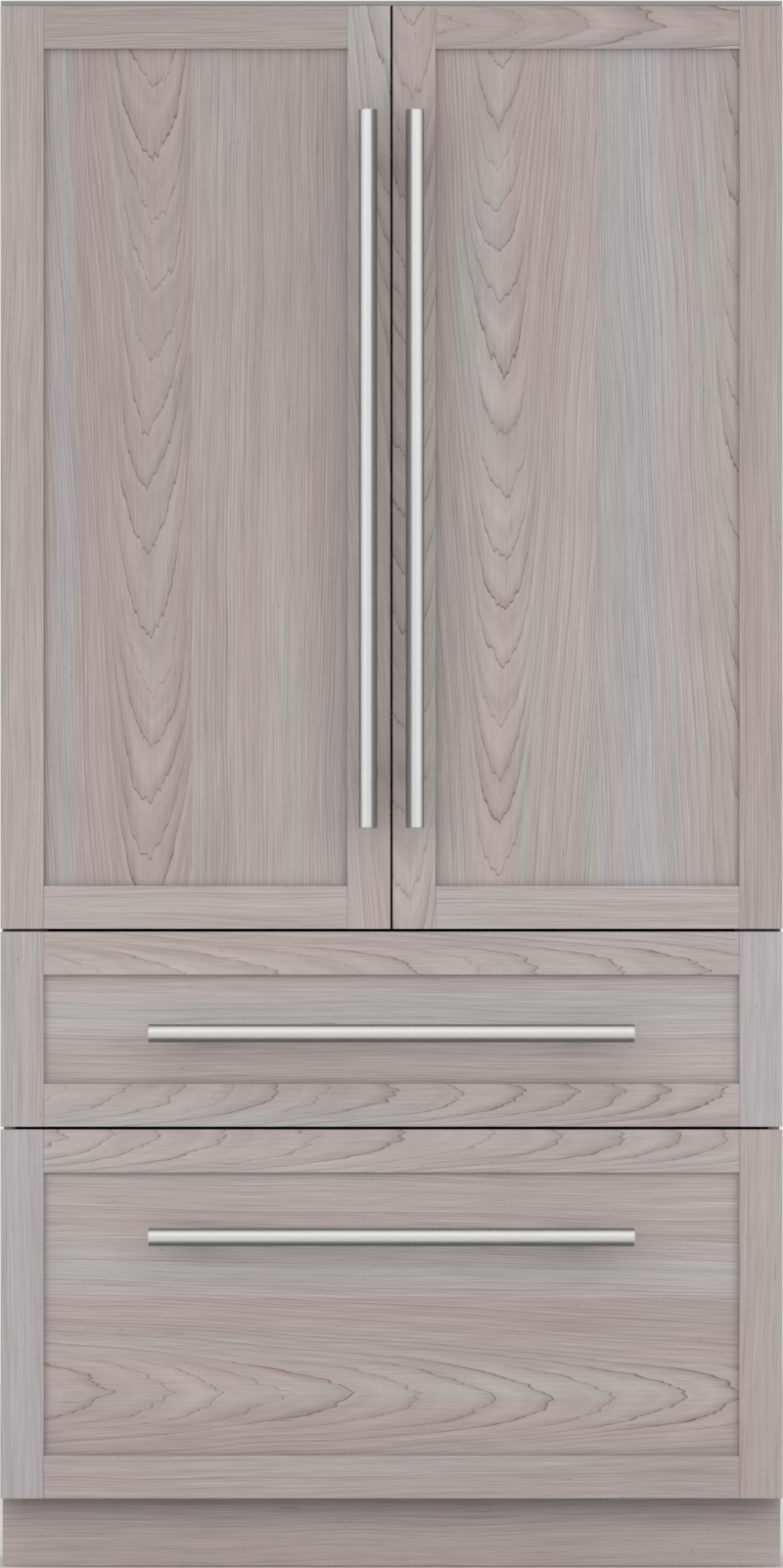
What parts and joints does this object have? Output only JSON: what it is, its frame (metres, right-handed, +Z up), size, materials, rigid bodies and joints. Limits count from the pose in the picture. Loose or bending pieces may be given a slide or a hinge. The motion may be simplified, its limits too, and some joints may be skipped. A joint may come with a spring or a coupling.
{
  "type": "fridge freezer",
  "caption": "Built-in French-door fridge over full-width freezer drawers, with shaker wood fronts, round bar handles, a wood toe kick and a working interior.",
  "frame": {"origin": "on the floor, under the middle of the whole box, handles included", "axes": "+Z up, +Y to the back, +X to the right as seen from the front; the fronts face -Y"},
  "size_m": [1.064, 0.6924, 2.134],
  "materials": {
    "stained_maple": "satin",
    "satin_stainless": "satin",
    "frame_stainless": "satin",
    "door_skin": "satin",
    "galvanised_sheet": "satin",
    "zinc_steel": "satin",
    "white_liner": "gloss",
    "white_coated_steel": "satin",
    "clear_styrene": "gloss",
    "freezer_bin_plastic": "gloss",
    "seal_rubber": "matte",
    "tempered_glass": "gloss",
    "urethane_foam": "matte",
    "flap_plastic": "matte",
    "black_plastic": "matte",
    "wheel_plastic": "matte",
    "black_enamel": "gloss",
    "fin_aluminium": "satin"
  },
  "bodies": {
    "cabinet": {"case_shell": "galvanised_sheet", "base_frame": "zinc_steel", "levelling_feet": "black_plastic", "cabinet_foam": "urethane_foam", "fridge_liner": "white_liner", "freezer_liner": "white_liner", "front_frame": "frame_stainless", "top_trim": "frame_stainless", "toe_kick": "stained_maple", "hinge_brackets": "zinc_steel", "slide_rails": "zinc_steel", "compressor": "black_enamel", "condenser": "fin_aluminium", "fan_shroud": "black_plastic", "drain_pan": "black_plastic", "machine_cover": "galvanised_sheet", "duct_covers": "white_liner", "evaporator": "fin_aluminium", "shelf_supports": "white_coated_steel", "shelf_glass": "tempered_glass", "crisper_frame": "white_liner", "ceiling_console": "white_liner", "power_inlet": "black_plastic"},
    "left_door": {"left_door_frame": "stained_maple", "left_door_panel": "stained_maple", "left_door_body": "door_skin", "left_door_liner": "white_liner", "left_door_gasket": "seal_rubber", "left_door_bins": "clear_styrene", "left_door_handle": "satin_stainless"},
    "right_door": {"right_door_frame": "stained_maple", "right_door_panel": "stained_maple", "right_door_body": "door_skin", "right_door_liner": "white_liner", "right_door_gasket": "seal_rubber", "right_door_bins": "clear_styrene", "right_door_handle": "satin_stainless"},
    "mullion_flap": {"mullion_flap": "flap_plastic"},
    "upper_drawer": {"upper_drawer_frame": "stained_maple", "upper_drawer_panel": "stained_maple", "upper_drawer_body": "door_skin", "upper_drawer_gasket": "seal_rubber", "upper_drawer_handle": "satin_stainless", "upper_drawer_slides": "zinc_steel", "upper_drawer_basket": "freezer_bin_plastic"},
    "upper_drawer_slide_middles": {"upper_drawer_slide_middles": "zinc_steel"},
    "lower_drawer": {"lower_drawer_frame": "stained_maple", "lower_drawer_panel": "stained_maple", "lower_drawer_body": "door_skin", "lower_drawer_gasket": "seal_rubber", "lower_drawer_handle": "satin_stainless", "lower_drawer_slides": "zinc_steel", "lower_drawer_basket": "freezer_bin_plastic"},
    "lower_drawer_slide_middles": {"lower_drawer_slide_middles": "zinc_steel"},
    "left_crisper": {"left_crisper": "clear_styrene"},
    "right_crisper": {"right_crisper": "clear_styrene"},
    "condenser_fan": {"condenser_fan": "black_plastic"},
    "freezer_fan": {"freezer_fan": "black_plastic"},
    "left_roller": {"left_roller": "wheel_plastic"},
    "right_roller": {"right_roller": "wheel_plastic"}
  },
  "joints": [
    {"name": "left_door", "type": "hinge", "parent": "cabinet", "child": "left_door", "pos_m": [-0.522, -0.2548, 1.4983], "axis": [0, 0, -1], "range_deg": [0, 110]},
    {"name": "right_door", "type": "hinge", "parent": "cabinet", "child": "right_door", "pos_m": [0.522, -0.2548, 1.4983], "axis": [0, 0, 1], "range_deg": [0, 110]},
    {"name": "mullion_flap", "type": "hinge", "parent": "left_door", "child": "mullion_flap", "pos_m": [-0.024, -0.1832, 1.4983], "axis": [0, 0, -1], "range_deg": [0, 90]},
    {"name": "upper_drawer", "type": "slide", "parent": "cabinet", "child": "upper_drawer", "axis": [0, -1, 0], "range_m": [0, 0.385]},
    {"name": "upper_slide_middles", "type": "slide", "parent": "cabinet", "child": "upper_drawer_slide_middles", "axis": [0, -1, 0], "range_m": [0, 0.1925]},
    {"name": "lower_drawer", "type": "slide", "parent": "cabinet", "child": "lower_drawer", "axis": [0, -1, 0], "range_m": [0, 0.385]},
    {"name": "lower_slide_middles", "type": "slide", "parent": "cabinet", "child": "lower_drawer_slide_middles", "axis": [0, -1, 0], "range_m": [0, 0.1925]},
    {"name": "left_crisper", "type": "slide", "parent": "cabinet", "child": "left_crisper", "axis": [0, -1, 0], "range_m": [0, 0.095]},
    {"name": "right_crisper", "type": "slide", "parent": "cabinet", "child": "right_crisper", "axis": [0, -1, 0], "range_m": [0, 0.095]},
    {"name": "condenser_fan", "type": "hinge", "parent": "cabinet", "child": "condenser_fan", "pos_m": [0.0302, 0.2382, 0.16], "axis": [1, 0, 0], "continuous": true},
    {"name": "freezer_fan", "type": "hinge", "parent": "cabinet", "child": "freezer_fan", "pos_m": [0, 0.2422, 0.65006], "axis": [0, -1, 0], "continuous": true},
    {"name": "left_roller", "type": "hinge", "parent": "cabinet", "child": "left_roller", "pos_m": [-0.4688, 0.2502, 0.025], "axis": [1, 0, 0], "continuous": true},
    {"name": "right_roller", "type": "hinge", "parent": "cabinet", "child": "right_roller", "pos_m": [0.4688, 0.2502, 0.025], "axis": [1, 0, 0], "continuous": true}
  ],
  "couplings": [
    {"joint": "upper_slide_middles", "follows": "upper_drawer", "ratio": 0.5},
    {"joint": "lower_slide_middles", "follows": "lower_drawer", "ratio": 0.5}
  ]
}
